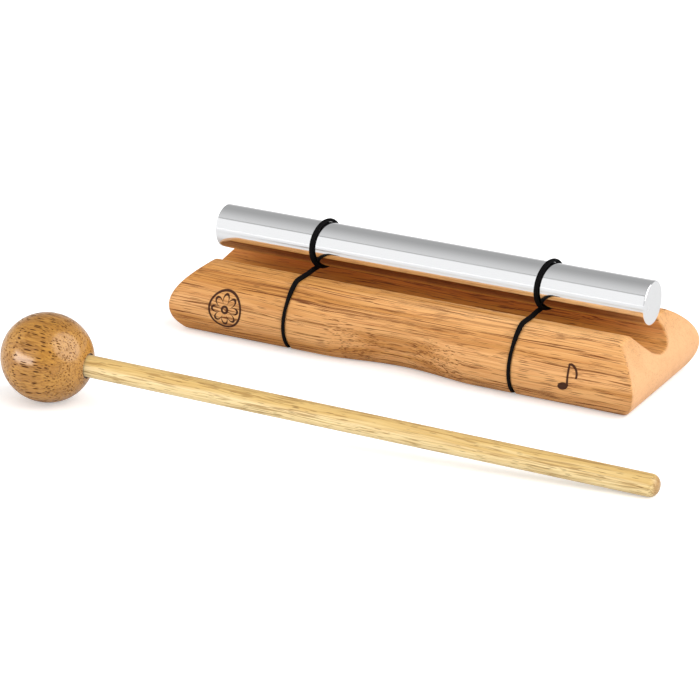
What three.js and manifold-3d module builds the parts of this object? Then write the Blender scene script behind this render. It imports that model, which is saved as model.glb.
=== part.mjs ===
// Energy chime: a solid aluminium bar slung over a grooved hardwood block on two elastic cords,
// with the wooden ball mallet that strikes it lying in front.
// Millimetres, +Z up. The origin is the middle of the block's underside. The bar runs along X,
// and the front of the block faces -Y.

import * as THREE from 'three';
import { mergeVertices } from 'three/addons/utils/BufferGeometryUtils.js';
import Module from 'manifold-3d';

const wasm = await Module();
wasm.setup();

// Base block: a plank rounded over above its waist and tucked under below it
const BASE_HEIGHT = 24;
const WAIST_HEIGHT = 10;
const TOP_HALF_LENGTH = 82.8;
const TOP_HALF_WIDTH = 18.8;
const WAIST_HALF_LENGTH = 92.6;
const WAIST_HALF_WIDTH = 29.7;
const FOOT_HALF_LENGTH = 87.9;
const FOOT_HALF_WIDTH = 24.7;
const CORNER_RADIUS = 1.2;
const END_ROUNDNESS = 1.0;
const SIDE_ROUNDNESS = 0.8;
const TUCK_ROUNDNESS = 2.2;

// Groove along the top, whose axis runs above the land on either side of it
const GROOVE_RADIUS = 11.4;
const GROOVE_RISE = 3;

// Finger scoop in the lower part of the front and of the back
const SCOOP_HALF_LENGTH = 30;
const SCOOP_DEPTH = 3.6;
const SCOOP_TOP = 19;

// Chime bar
const ROD_DIAMETER = 16;
const ROD_LENGTH = 171.4;
const ROD_CHAMFER = 0.5;
const ROD_LIFT = 1;
const ROD_SHIFT = 0.7;

// Elastic cords: each makes one round turn about the bar and is tied under the block
const CORD_DIAMETER = 1.9;
const CORD_STATION = 44.9;
const TURN_PITCH = 2.5;
const TURN_DEPTH = 1.4;
const TURN_LEAD = 0.6;
const FREE_SPAN = 5;
const CORD_SEAT = 0.6;
const CORD_SINK = 1.2;
const UNDER_CLEARANCE = 0.6;
const TOUCH_GAP = 0.3;

// Knot of each cord, in a pocket in the underside
const KNOT_LENGTH = 7.2;
const KNOT_DIAMETER = 4.8;
const KNOT_WAIST_DIAMETER = 3.8;
const POCKET_LENGTH = 22;
const POCKET_WIDTH = 8;
const POCKET_MARGIN = 0.8;

// Mallet: a ball a little longer than it is wide, on a dowel glued into a blind bore
const BALL_DIAMETER = 31.4;
const BALL_LENGTH = 33;
const HANDLE_DIAMETER = 7.8;
const HANDLE_REACH = 222;
const HANDLE_INSERT = 14;
const HANDLE_END_RADIUS = 2.6;
const MALLET_X = -94.7;
const MALLET_Y = -105.8;
const MALLET_YAW = THREE.MathUtils.degToRad(6.33);

// Facet counts
const BAR_SEGMENTS = 48;
const BALL_SEGMENTS = 32;
const HANDLE_SEGMENTS = 20;
const KNOT_SEGMENTS = 12;
const GROOVE_SEGMENTS = 64;
const CORD_SIDES = 8;
const STRAND_STEPS = 28;
const TURN_STEPS = 32;

const rodRadius = ROD_DIAMETER / 2;
const cordRadius = CORD_DIAMETER / 2;
const handleRadius = HANDLE_DIAMETER / 2;
const rodHeight = BASE_HEIGHT + ROD_LIFT + rodRadius;
const lipHalfWidth = Math.sqrt(GROOVE_RADIUS ** 2 - GROOVE_RISE ** 2);
const turnRadius = rodRadius + TOUCH_GAP + TURN_DEPTH / 2;
const underHeight = UNDER_CLEARANCE + cordRadius;
const knotHeight = UNDER_CLEARANCE + KNOT_DIAMETER / 2;

const WOOD = { color: 0xd9a066, roughness: 0.6, metalness: 0 };
const BALL_WOOD = { color: 0xb98545, roughness: 0.45, metalness: 0 };
const DOWEL_WOOD = { color: 0xe8cf8e, roughness: 0.5, metalness: 0 };
const ALUMINIUM = { color: 0xd8dadd, roughness: 0.22, metalness: 1 };
const CORD = { color: 0x111112, roughness: 0.85, metalness: 0 };

// Makes a solid of a closed geometry, for cutting
function toSolid(geometry) {
  const WELD_DISTANCE = 1e-4;
  const bare = geometry.clone();
  bare.deleteAttribute('normal');
  bare.deleteAttribute('uv');
  const merged = mergeVertices(bare, WELD_DISTANCE);
  const vertProperties = new Float32Array(merged.attributes.position.array);
  const triVerts = new Uint32Array(merged.index.array);
  return new wasm.Manifold(new wasm.Mesh({ numProp: 3, vertProperties, triVerts }));
}

// Gives a cut solid back as a geometry
function toGeometry(solid) {
  const mesh = solid.getMesh();
  const geometry = new THREE.BufferGeometry();
  geometry.setAttribute('position', new THREE.BufferAttribute(mesh.vertProperties, 3));
  geometry.setIndex(new THREE.BufferAttribute(mesh.triVerts, 1));
  geometry.computeVertexNormals();
  return geometry;
}

function makeMesh(name, geometry, finish) {
  const mesh = new THREE.Mesh(geometry, new THREE.MeshStandardMaterial(finish));
  mesh.name = name;
  return mesh;
}

// Skins a stack of rings that run anticlockwise from above, lowest first, and closes both ends
function skinRings(rings) {
  const count = rings[0].length;
  const points = rings.flat();
  const index = [];
  for (let ring = 0; ring + 1 < rings.length; ring++) {
    for (let i = 0; i < count; i++) {
      const a = ring * count + i;
      const b = ring * count + ((i + 1) % count);
      index.push(a, b, b + count, a, b + count, a + count);
    }
  }
  const top = (rings.length - 1) * count;
  const lowest = points.push(new THREE.Vector3(0, 0, rings[0][0].z)) - 1;
  const highest = points.push(new THREE.Vector3(0, 0, rings.at(-1)[0].z)) - 1;
  for (let i = 0; i < count; i++) {
    const next = (i + 1) % count;
    index.push(lowest, next, i, highest, top + i, top + next);
  }
  const geometry = new THREE.BufferGeometry().setFromPoints(points);
  geometry.setIndex(index);
  return geometry;
}

// Half size of the block's outline at a height, in length or in width
function halfSize(height, top, waist, foot, roundness) {
  if (height >= WAIST_HEIGHT) {
    const rise = (height - WAIST_HEIGHT) / (BASE_HEIGHT - WAIST_HEIGHT);
    return top + (waist - top) * Math.max(1 - rise * rise, 0) ** roundness;
  }
  const drop = 1 - height / WAIST_HEIGHT;
  return waist - (waist - foot) * drop ** TUCK_ROUNDNESS;
}

const halfLength = (z) => halfSize(z, TOP_HALF_LENGTH, WAIST_HALF_LENGTH, FOOT_HALF_LENGTH, END_ROUNDNESS);
const halfWidth = (z) => halfSize(z, TOP_HALF_WIDTH, WAIST_HALF_WIDTH, FOOT_HALF_WIDTH, SIDE_ROUNDNESS);

// How far the finger scoop cuts in at a place along the side
function scoopInset(x, height) {
  const along = Math.max(1 - (x / SCOOP_HALF_LENGTH) ** 2, 0) ** 2;
  return SCOOP_DEPTH * along * (1 - THREE.MathUtils.smoothstep(height, WAIST_HEIGHT, SCOOP_TOP));
}

// Heights of the block's rings, closer together where the side turns fastest
function ringHeights() {
  const LOWER = 6;
  const UPPER = 9;
  const heights = [];
  for (let i = 0; i < LOWER; i++) {
    heights.push((WAIST_HEIGHT * i) / LOWER);
  }
  for (let i = 0; i <= UPPER; i++) {
    heights.push(WAIST_HEIGHT + (BASE_HEIGHT - WAIST_HEIGHT) * Math.sin((Math.PI / 2) * (i / UPPER)));
  }
  return heights;
}

// One outline of the block: round corners, straight ends, and scooped sides
function blockOutline(height) {
  const CORNER_STEPS = 3;
  const SCOOP_STEPS = 18;
  const x = halfLength(height) - CORNER_RADIUS;
  const y = halfWidth(height) - CORNER_RADIUS;
  const ring = [];
  const corner = (cx, cy, start) => {
    for (let i = 0; i <= CORNER_STEPS; i++) {
      const angle = start + (Math.PI / 2) * (i / CORNER_STEPS);
      ring.push(new THREE.Vector3(
        cx + CORNER_RADIUS * Math.cos(angle), cy + CORNER_RADIUS * Math.sin(angle), height));
    }
  };
  const side = (face) => {
    for (let i = 0; i <= SCOOP_STEPS; i++) {
      const along = -face * SCOOP_HALF_LENGTH * (2 * (i / SCOOP_STEPS) - 1);
      const out = halfWidth(height) - scoopInset(along, height);
      ring.push(new THREE.Vector3(along, face * out, height));
    }
  };
  side(-1);
  corner(x, -y, -Math.PI / 2);
  corner(x, y, 0);
  side(1);
  corner(-x, y, Math.PI / 2);
  corner(-x, -y, Math.PI);
  return ring;
}

// A closed tube along a curve, of an oval section
function tube(curve, width, depth, steps) {
  const section = new THREE.Shape();
  for (let i = 0; i < CORD_SIDES; i++) {
    const angle = (2 * Math.PI * (i + 0.5)) / CORD_SIDES;
    const x = (width / 2) * Math.cos(angle);
    const y = (depth / 2) * Math.sin(angle);
    if (i === 0) {
      section.moveTo(x, y);
    } else {
      section.lineTo(x, y);
    }
  }
  section.closePath();
  return new THREE.ExtrudeGeometry(section, { steps, extrudePath: curve, bevelEnabled: false });
}

// Where a strand leaves the land, and the angle from straight down at which it meets the turn
const lipSeat = { y: lipHalfWidth, z: BASE_HEIGHT + CORD_SEAT };
const lipDistance = Math.hypot(lipSeat.y, rodHeight - lipSeat.z);
const meetAngle = Math.atan2(lipSeat.y, rodHeight - lipSeat.z) - Math.acos(turnRadius / lipDistance);
const meet = { y: turnRadius * Math.sin(meetAngle), z: rodHeight - turnRadius * Math.cos(meetAngle) };
const splitY = lipHalfWidth - FREE_SPAN;

// Height of the free span between the lip and the turn, at a distance from the bar's middle plane
function spanHeight(y) {
  return THREE.MathUtils.mapLinear(y, meet.y, lipSeat.y, meet.z, lipSeat.z);
}

// Centre of a strand on the side of the block: sunk near the foot, seated on the wood above
function sidePoint(x, face, height) {
  const STEP = 0.05;
  const upper = Math.min(height + STEP, BASE_HEIGHT);
  const lower = upper - 2 * STEP;
  const slope = new THREE.Vector2(upper - lower, halfWidth(lower) - halfWidth(upper)).normalize();
  const drop = Math.max(1 - height / WAIST_HEIGHT, 0);
  const out = CORD_SEAT - (CORD_SEAT + CORD_SINK) * drop * drop;
  return new THREE.Vector3(x, face * (halfWidth(height) + slope.x * out), height + slope.y * out);
}

// Place along the bar where the turn takes over a strand: the back one passes beside the front one
function turnEnd(station, face) {
  const start = station - TURN_LEAD;
  return face < 0 ? start : start + TURN_PITCH;
}

// Route of one strand, from the knot under the block, up its side and over the land
function strandCurve(station, face) {
  const KNOT_LEAD = 2;
  const SIDE_STEPS = 9;
  const FIRST_STEP = 0.7;
  const EDGE_RUN = 3;
  const knotEnd = KNOT_LENGTH / 2 + TOUCH_GAP;
  const points = [
    new THREE.Vector3(station, face * knotEnd, knotHeight),
    new THREE.Vector3(station, face * (knotEnd + KNOT_LEAD), knotHeight),
    new THREE.Vector3(station, (face * POCKET_LENGTH) / 2, underHeight),
    new THREE.Vector3(station, face * (FOOT_HALF_WIDTH - EDGE_RUN), underHeight),
  ];
  for (let i = 0; i < SIDE_STEPS; i++) {
    const share = (i + FIRST_STEP) / SIDE_STEPS;
    const height = underHeight + (BASE_HEIGHT - underHeight) * Math.sin((Math.PI / 2) * share);
    points.push(sidePoint(station, face, height));
  }
  points.push(new THREE.Vector3(station, (face * (TOP_HALF_WIDTH + lipSeat.y)) / 2, lipSeat.z));
  points.push(new THREE.Vector3(station, face * lipSeat.y, lipSeat.z));
  const end = splitY + TOUCH_GAP / 2;
  points.push(new THREE.Vector3(turnEnd(station, face), face * end, spanHeight(end)));
  return new THREE.CatmullRomCurve3(points, false, 'centripetal');
}

// Route of one round turn: under the bar from the front, up its back, over, down and under again
function turnCurve(station) {
  const TURN_POINTS = 30;
  const end = splitY - TOUCH_GAP / 2;
  const points = [new THREE.Vector3(turnEnd(station, -1), -end, spanHeight(end))];
  for (let i = 0; i <= TURN_POINTS; i++) {
    const share = i / TURN_POINTS;
    const angle = -meetAngle + (2 * Math.PI + 2 * meetAngle) * share;
    points.push(new THREE.Vector3(
      turnEnd(station, -1) + TURN_PITCH * share,
      turnRadius * Math.sin(angle),
      rodHeight - turnRadius * Math.cos(angle)));
  }
  points.push(new THREE.Vector3(turnEnd(station, 1), end, spanHeight(end)));
  return new THREE.CatmullRomCurve3(points, false, 'centripetal');
}

// Least gap between stretches of one cord that lie more than half a turn apart along it
function leastGap(curve) {
  const SAMPLES = 600;
  const points = curve.getSpacedPoints(SAMPLES);
  const apart = Math.ceil((Math.PI * turnRadius * SAMPLES) / curve.getLength());
  let least = Infinity;
  for (let i = 0; i <= SAMPLES; i++) {
    for (let j = i + apart; j <= SAMPLES; j++) {
      least = Math.min(least, points[i].distanceTo(points[j]));
    }
  }
  return least - CORD_DIAMETER;
}

// Pocket in the underside that hides a knot
function pocketGeometry(station) {
  const radius = POCKET_WIDTH / 2;
  const run = POCKET_LENGTH / 2 - radius;
  const outline = new THREE.Shape();
  outline.absarc(0, run, radius, 0, Math.PI);
  outline.absarc(0, -run, radius, Math.PI, 2 * Math.PI);
  outline.closePath();
  const depth = knotHeight + KNOT_DIAMETER / 2 + POCKET_MARGIN;
  const geometry = new THREE.ExtrudeGeometry(outline, {
    depth: depth + POCKET_MARGIN, curveSegments: 8, bevelEnabled: false });
  return geometry.translate(station, 0, -POCKET_MARGIN);
}

// Block with its groove, cord channels and knot pockets
function baseGeometry(stations) {
  const END_ALLOWANCE = 10;
  const groove = new THREE.CylinderGeometry(
    GROOVE_RADIUS, GROOVE_RADIUS, 2 * WAIST_HALF_LENGTH + END_ALLOWANCE, GROOVE_SEGMENTS);
  groove.rotateZ(Math.PI / 2).translate(0, 0, BASE_HEIGHT + GROOVE_RISE);
  const channelWidth = CORD_DIAMETER + 2 * TOUCH_GAP;
  let block = toSolid(skinRings(ringHeights().map(blockOutline))).subtract(toSolid(groove));
  for (const station of stations) {
    block = block.subtract(toSolid(pocketGeometry(station)));
    for (const face of [-1, 1]) {
      const channel = tube(strandCurve(station, face), channelWidth, channelWidth, STRAND_STEPS);
      block = block.subtract(toSolid(channel));
    }
  }
  return toGeometry(block);
}

// Bar with chamfered ends, turned about X
function rodGeometry() {
  const half = ROD_LENGTH / 2;
  const profile = [
    new THREE.Vector2(0, -half),
    new THREE.Vector2(rodRadius - ROD_CHAMFER, -half),
    new THREE.Vector2(rodRadius, ROD_CHAMFER - half),
    new THREE.Vector2(rodRadius, half - ROD_CHAMFER),
    new THREE.Vector2(rodRadius - ROD_CHAMFER, half),
    new THREE.Vector2(0, half),
  ];
  return new THREE.LatheGeometry(profile, BAR_SEGMENTS).rotateZ(-Math.PI / 2);
}

// Two-lobed knot, lying along Y
function knotGeometry() {
  const NECK_SHARE = 0.55;
  const SHOULDER_SHARE = 0.9;
  const SHOULDER_PLACE = 0.75;
  const LOBE_PLACE = 0.45;
  const half = KNOT_LENGTH / 2;
  const lobe = KNOT_DIAMETER / 2;
  const profile = [
    new THREE.Vector2(0, -half),
    new THREE.Vector2(lobe * NECK_SHARE, -half),
    new THREE.Vector2(lobe * SHOULDER_SHARE, -half * SHOULDER_PLACE),
    new THREE.Vector2(lobe, -half * LOBE_PLACE),
    new THREE.Vector2(KNOT_WAIST_DIAMETER / 2, 0),
    new THREE.Vector2(lobe, half * LOBE_PLACE),
    new THREE.Vector2(lobe * SHOULDER_SHARE, half * SHOULDER_PLACE),
    new THREE.Vector2(lobe * NECK_SHARE, half),
    new THREE.Vector2(0, half),
  ];
  return new THREE.LatheGeometry(profile, KNOT_SEGMENTS);
}

const ballRadius = BALL_DIAMETER / 2;
const ballHalfLength = BALL_LENGTH / 2;
const boreRadius = handleRadius + TOUCH_GAP;
const boreMouth = ballHalfLength * Math.sqrt(1 - (boreRadius / ballRadius) ** 2);
const insertEnd = boreMouth - HANDLE_INSERT;

// Ball turned about X, with the blind bore that the handle is glued into on its +X side
function ballGeometry() {
  const PROFILE_STEPS = 18;
  const mouthAngle = Math.asin(boreRadius / ballRadius);
  const profile = [];
  for (let i = 0; i <= PROFILE_STEPS; i++) {
    const angle = (Math.PI - mouthAngle) * (i / PROFILE_STEPS);
    const radius = i === 0 ? 0 : ballRadius * Math.sin(angle);
    profile.push(new THREE.Vector2(radius, -ballHalfLength * Math.cos(angle)));
  }
  const bottom = insertEnd - TOUCH_GAP;
  profile.push(new THREE.Vector2(boreRadius, bottom));
  profile.push(new THREE.Vector2(0, bottom));
  return new THREE.LatheGeometry(profile, BALL_SEGMENTS).rotateZ(-Math.PI / 2);
}

// Dowel along X, from the bottom of the bore to its rounded free end
function handleGeometry() {
  const END_STEPS = 5;
  const profile = [new THREE.Vector2(0, insertEnd), new THREE.Vector2(handleRadius, insertEnd)];
  for (let i = 0; i <= END_STEPS; i++) {
    const angle = (Math.PI / 2) * (i / END_STEPS);
    profile.push(new THREE.Vector2(
      handleRadius - HANDLE_END_RADIUS * (1 - Math.cos(angle)),
      HANDLE_REACH - HANDLE_END_RADIUS * (1 - Math.sin(angle))));
  }
  profile.push(new THREE.Vector2(0, HANDLE_REACH));
  return new THREE.LatheGeometry(profile, HANDLE_SEGMENTS).rotateZ(-Math.PI / 2);
}

// Dip of the mallet's axis when both the ball and the handle's free end rest on the table
function malletDip() {
  const contact = HANDLE_REACH - HANDLE_END_RADIUS;
  return Math.asin((ballRadius - handleRadius) / contact);
}

const chime = new THREE.Group();
const stations = { left: ROD_SHIFT - CORD_STATION, right: ROD_SHIFT + CORD_STATION };

chime.add(makeMesh('base_block', baseGeometry(Object.values(stations)), WOOD));

const rod = makeMesh('chime_rod', rodGeometry(), ALUMINIUM);
rod.position.set(ROD_SHIFT, 0, rodHeight);
chime.add(rod);

for (const [side, station] of Object.entries(stations)) {
  const turn = turnCurve(station);
  console.log(`${side} rod turn: least gap to itself ${leastGap(turn).toFixed(2)} mm`);
  const strand = (face) => tube(strandCurve(station, face), CORD_DIAMETER, CORD_DIAMETER, STRAND_STEPS);
  chime.add(makeMesh(`${side}_front_cord`, strand(-1), CORD));
  chime.add(makeMesh(`${side}_back_cord`, strand(1), CORD));
  chime.add(makeMesh(`${side}_rod_turn`, tube(turn, CORD_DIAMETER, TURN_DEPTH, TURN_STEPS), CORD));
  const knot = makeMesh(`${side}_cord_knot`, knotGeometry(), CORD);
  knot.position.set(station, 0, knotHeight);
  chime.add(knot);
}

const mallet = new THREE.Group();
mallet.position.set(MALLET_X, MALLET_Y, ballRadius);
mallet.rotation.set(0, malletDip(), MALLET_YAW, 'ZYX');
mallet.add(makeMesh('mallet_head', ballGeometry(), BALL_WOOD));
mallet.add(makeMesh('mallet_handle', handleGeometry(), DOWEL_WOOD));
chime.add(mallet);

export default chime;
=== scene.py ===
"""Energy chime in a plain studio: block, bar, two slings and mallet, dressed over the frame.

Lengths are in millimetres in the object's own frame (X along the bar, Y to the back, Z up, the origin in the
middle of the block's underside) until a mesh or a light is made, which is in metres.
"""

import logging
import math
from collections.abc import Callable, Iterable, Sequence
from dataclasses import dataclass, field
from enum import Enum
from functools import reduce

import bmesh
import bpy
import numpy as np
from mathutils import Euler, Matrix, Vector


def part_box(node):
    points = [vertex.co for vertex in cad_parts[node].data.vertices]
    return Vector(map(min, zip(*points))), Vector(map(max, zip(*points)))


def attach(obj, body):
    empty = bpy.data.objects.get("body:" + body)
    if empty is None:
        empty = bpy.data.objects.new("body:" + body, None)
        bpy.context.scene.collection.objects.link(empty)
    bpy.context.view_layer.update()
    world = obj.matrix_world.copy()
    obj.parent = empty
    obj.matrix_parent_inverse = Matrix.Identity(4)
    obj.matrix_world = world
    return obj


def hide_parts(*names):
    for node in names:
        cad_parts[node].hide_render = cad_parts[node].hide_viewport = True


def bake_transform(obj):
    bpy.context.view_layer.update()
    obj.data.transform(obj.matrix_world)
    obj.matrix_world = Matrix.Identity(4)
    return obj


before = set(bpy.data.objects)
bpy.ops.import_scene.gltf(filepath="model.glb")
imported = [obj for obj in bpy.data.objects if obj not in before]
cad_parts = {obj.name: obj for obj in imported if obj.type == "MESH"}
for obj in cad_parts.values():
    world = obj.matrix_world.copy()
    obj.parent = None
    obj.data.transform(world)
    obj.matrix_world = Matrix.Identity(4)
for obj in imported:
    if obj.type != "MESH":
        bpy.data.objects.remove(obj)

LOG = logging.getLogger("chime")
MM = 0.001
SPAN_SAMPLES = 24
SLOPE_REACH = 0.05
LINE_INPUTS = ("Line Length", "Line Gap", "Line Half Width", "Line Strength")
PORE_INPUTS = ("Pore Length", "Pore Gap", "Pore Size", "Pore Strength")

Colour = tuple[float, float, float, float]
Span = tuple[float, float]
Spot = tuple[float, float, float]
Solid = Callable[[np.ndarray], np.ndarray]
Socket = bpy.types.NodeSocket
Feed = Socket | float | int | bool | str | Sequence[float] | bpy.types.Material


class Side(Enum):
    """End of the block that a sling is near."""

    LEFT = "left"
    RIGHT = "right"


class Face(Enum):
    """Long face of the block, with the sign of its Y."""

    FRONT = -1
    BACK = 1


class Body(Enum):
    """Moving part of the frame that a piece rides on."""

    BASE = "base"
    SLINGS = "slings"
    CHIME = "chime"
    MALLET = "mallet"


class Slot(Enum):
    """Material slot of the record."""

    BLOCK = "block_wood"
    BAR = "bar_metal"
    CORD = "cord"
    BALL = "ball_wood"
    DOWEL = "dowel_wood"


def frame_box(node: str) -> tuple[np.ndarray, np.ndarray]:
    """Returns the low and the high corner of a node of the frame, in millimetres."""
    low, high = (np.array(corner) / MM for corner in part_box(node))
    return low, high


def smooth_max(a: np.ndarray, b: np.ndarray, reach: float) -> np.ndarray:
    """Returns the larger of two distances, blended over a reach."""
    return np.maximum(a, b) + np.maximum(reach - np.abs(a - b), 0.0) ** 2 / (4.0 * reach)


def smoothstep(value: np.ndarray, low: float, high: float) -> np.ndarray:
    """Returns a smooth rise from 0 at low to 1 at high."""
    share = np.clip((value - low) / (high - low), 0.0, 1.0)
    return share * share * (3.0 - 2.0 * share)


def arc_length(path: np.ndarray) -> np.ndarray:
    """Returns the distance along a path at each of its points."""
    return np.concatenate([[0.0], np.cumsum(np.linalg.norm(np.diff(path, axis=0), axis=1))])


def spline(knots: np.ndarray, step: float) -> np.ndarray:
    """Draws a centripetal curve through points.

    Args:
        knots: Points that the curve passes through, one per row.
        step: Distance between the points returned.

    Returns:
        Points spaced evenly along the curve, both ends included.
    """
    padded = np.vstack([2 * knots[0] - knots[1], knots, 2 * knots[-1] - knots[-2]])
    share = np.linspace(0.0, 1.0, SPAN_SAMPLES, endpoint=False)[:, None]
    runs = []
    for p0, p1, p2, p3 in zip(padded, padded[1:], padded[2:], padded[3:]):
        t1 = math.sqrt(np.linalg.norm(p1 - p0))
        t2 = t1 + math.sqrt(np.linalg.norm(p2 - p1))
        t3 = t2 + math.sqrt(np.linalg.norm(p3 - p2))
        t = t1 + (t2 - t1) * share
        a1 = (t1 - t) / t1 * p0 + t / t1 * p1
        a2 = (t2 - t) / (t2 - t1) * p1 + (t - t1) / (t2 - t1) * p2
        a3 = (t3 - t) / (t3 - t2) * p2 + (t - t2) / (t3 - t2) * p3
        b1 = (t2 - t) / t2 * a1 + t / t2 * a2
        b2 = (t3 - t) / (t3 - t1) * a2 + (t - t1) / (t3 - t1) * a3
        runs.append((t2 - t) / (t2 - t1) * b1 + (t - t1) / (t2 - t1) * b2)
    dense = np.vstack([*runs, knots[-1:]])
    arc = arc_length(dense)
    places = np.linspace(0.0, arc[-1], max(2, round(arc[-1] / step) + 1))
    return np.stack([np.interp(places, arc, dense[:, k]) for k in range(3)], axis=1)


def path_distance(points: np.ndarray, path: np.ndarray) -> np.ndarray:
    """Returns each point's distance to a path of straight runs."""
    nearest = np.full(len(points), np.inf)
    for start, end in zip(path, path[1:]):
        run = end - start
        share = np.clip((points - start) @ run / (run @ run), 0.0, 1.0)
        nearest = np.minimum(nearest, np.linalg.norm(points - start - share[:, None] * run, axis=1))
    return nearest


def lathe(profile: Sequence[Span], segments: int) -> tuple[np.ndarray, list[list[int]]]:
    """Turns a profile about the X axis.

    Args:
        profile: Pairs of X and radius, from the low end to the high one; a radius of zero makes a pole.
        segments: Number of sides.

    Returns:
        Points and the faces between them.
    """
    angle = np.linspace(0.0, 2.0 * math.pi, segments, endpoint=False)
    points: list[np.ndarray] = []
    rows: list[list[int]] = []
    total = 0
    for x, radius in profile:
        count = segments if radius > 0 else 1
        ring = angle[:count]
        points.append(np.stack([np.full(count, x), radius * np.cos(ring), radius * np.sin(ring)], axis=1))
        rows.append([total + (k % count) for k in range(segments + 1)])
        total += count
    faces = []
    for low, high in zip(rows, rows[1:]):
        for k in range(segments):
            corners = [low[k], low[k + 1], high[k + 1], high[k]]
            faces.append(list(dict.fromkeys(corners)))
    return np.vstack(points), faces


def surface_net(solid: Solid, axes: Sequence[np.ndarray]) -> tuple[np.ndarray, np.ndarray]:
    """Skins a solid that is given by its signed distance.

    Args:
        solid: Returns the signed distance of each point, negative inside.
        axes: Grid places along X, Y and Z, which reach past the solid on all sides.

    Returns:
        Points on the skin, and quads that face outwards.
    """
    grid = np.stack(np.meshgrid(*axes, indexing="ij"), axis=-1)
    value = solid(grid.reshape(-1, 3)).reshape(grid.shape[:3])
    cells = np.array(value.shape) - 1
    total = np.zeros((*cells, 3))
    count = np.zeros(cells)
    crossings = []
    for axis in range(3):
        first = tuple(slice(0, -1) if k == axis else slice(None) for k in range(3))
        second = tuple(slice(1, None) if k == axis else slice(None) for k in range(3))
        a, b = value[first], value[second]
        cross = (a < 0) != (b < 0)
        share = np.where(cross, a / np.where(cross, a - b, 1.0), 0.0)
        place = grid[first] + share[..., None] * (grid[second] - grid[first])
        crossings.append((axis, cross, a < 0))
        u, v = [k for k in range(3) if k != axis]
        for du in (0, 1):
            for dv in (0, 1):
                pick = [slice(None)] * 3
                pick[u] = slice(du, du + cells[u])
                pick[v] = slice(dv, dv + cells[v])
                hit = cross[tuple(pick)]
                total[hit] += place[tuple(pick)][hit]
                count[hit] += 1
    used = count > 0
    number = np.full(cells, -1)
    number[used] = np.arange(used.sum())
    quads = []
    for axis, cross, outward in crossings:
        u, v = [k for k in range(3) if k != axis]
        spot = np.argwhere(cross)
        corners = []
        for du, dv in ((-1, -1), (0, -1), (0, 0), (-1, 0)):
            cell = spot.copy()
            cell[:, u] += du
            cell[:, v] += dv
            corners.append(number[tuple(cell.T)])
        quad = np.stack(corners, axis=1)
        turned = outward[cross] == (axis == 1)
        quad[turned] = quad[turned, ::-1]
        quads.append(quad)
    return total[used] / count[used][:, None], np.vstack(quads)


def slope_of(solid: Solid, points: np.ndarray) -> np.ndarray:
    """Returns the slope of a signed distance at points, by differences over a short reach."""
    steps = np.eye(3) * SLOPE_REACH
    return np.stack([solid(points + s) - solid(points - s) for s in steps], axis=-1) / (2.0 * SLOPE_REACH)


def settle(solid: Solid, points: np.ndarray, rounds: int) -> np.ndarray:
    """Moves points along the slope until they lie on a solid's skin.

    Args:
        solid: Returns the signed distance of each point.
        points: Points near the skin.
        rounds: Number of moves.

    Returns:
        The moved points.
    """
    flattest, longest_move, tiny = 0.2, 0.3, 1e-9
    for _ in range(rounds):
        slope = slope_of(solid, points)
        size = np.maximum((slope**2).sum(axis=1), flattest)
        move = slope * (solid(points) / size)[:, None]
        length = np.linalg.norm(move, axis=1, keepdims=True)
        points = points - move * np.minimum(1.0, longest_move / np.maximum(length, tiny))
    return points


def show(item: bpy.types.Object) -> bpy.types.Object:
    """Links an object to the scene."""
    bpy.context.scene.collection.objects.link(item)
    return item


def make_piece(
    name: str, points: np.ndarray, faces: Iterable[Sequence[int]], material: bpy.types.Material
) -> bpy.types.Object:
    """Makes a smooth-shaded mesh object.

    Args:
        name: Name of the object and its mesh.
        points: Points in millimetres.
        faces: Corners of each face.
        material: Finish of the whole piece.

    Returns:
        The object, linked to the scene.
    """
    mesh = bpy.data.meshes.new(name)
    mesh.from_pydata((points * MM).tolist(), [], [list(map(int, f)) for f in faces])
    mesh.shade_smooth()
    mesh.materials.append(material)
    return show(bpy.data.objects.new(name, mesh))


def settle_in(piece: bpy.types.Object, nodes: Sequence[str]) -> None:
    """Hides the frame nodes that a piece replaces, and logs it."""
    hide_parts(*nodes)
    LOG.info("%s: %d faces for %s", piece.name, len(piece.data.polygons), ", ".join(nodes))


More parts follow.
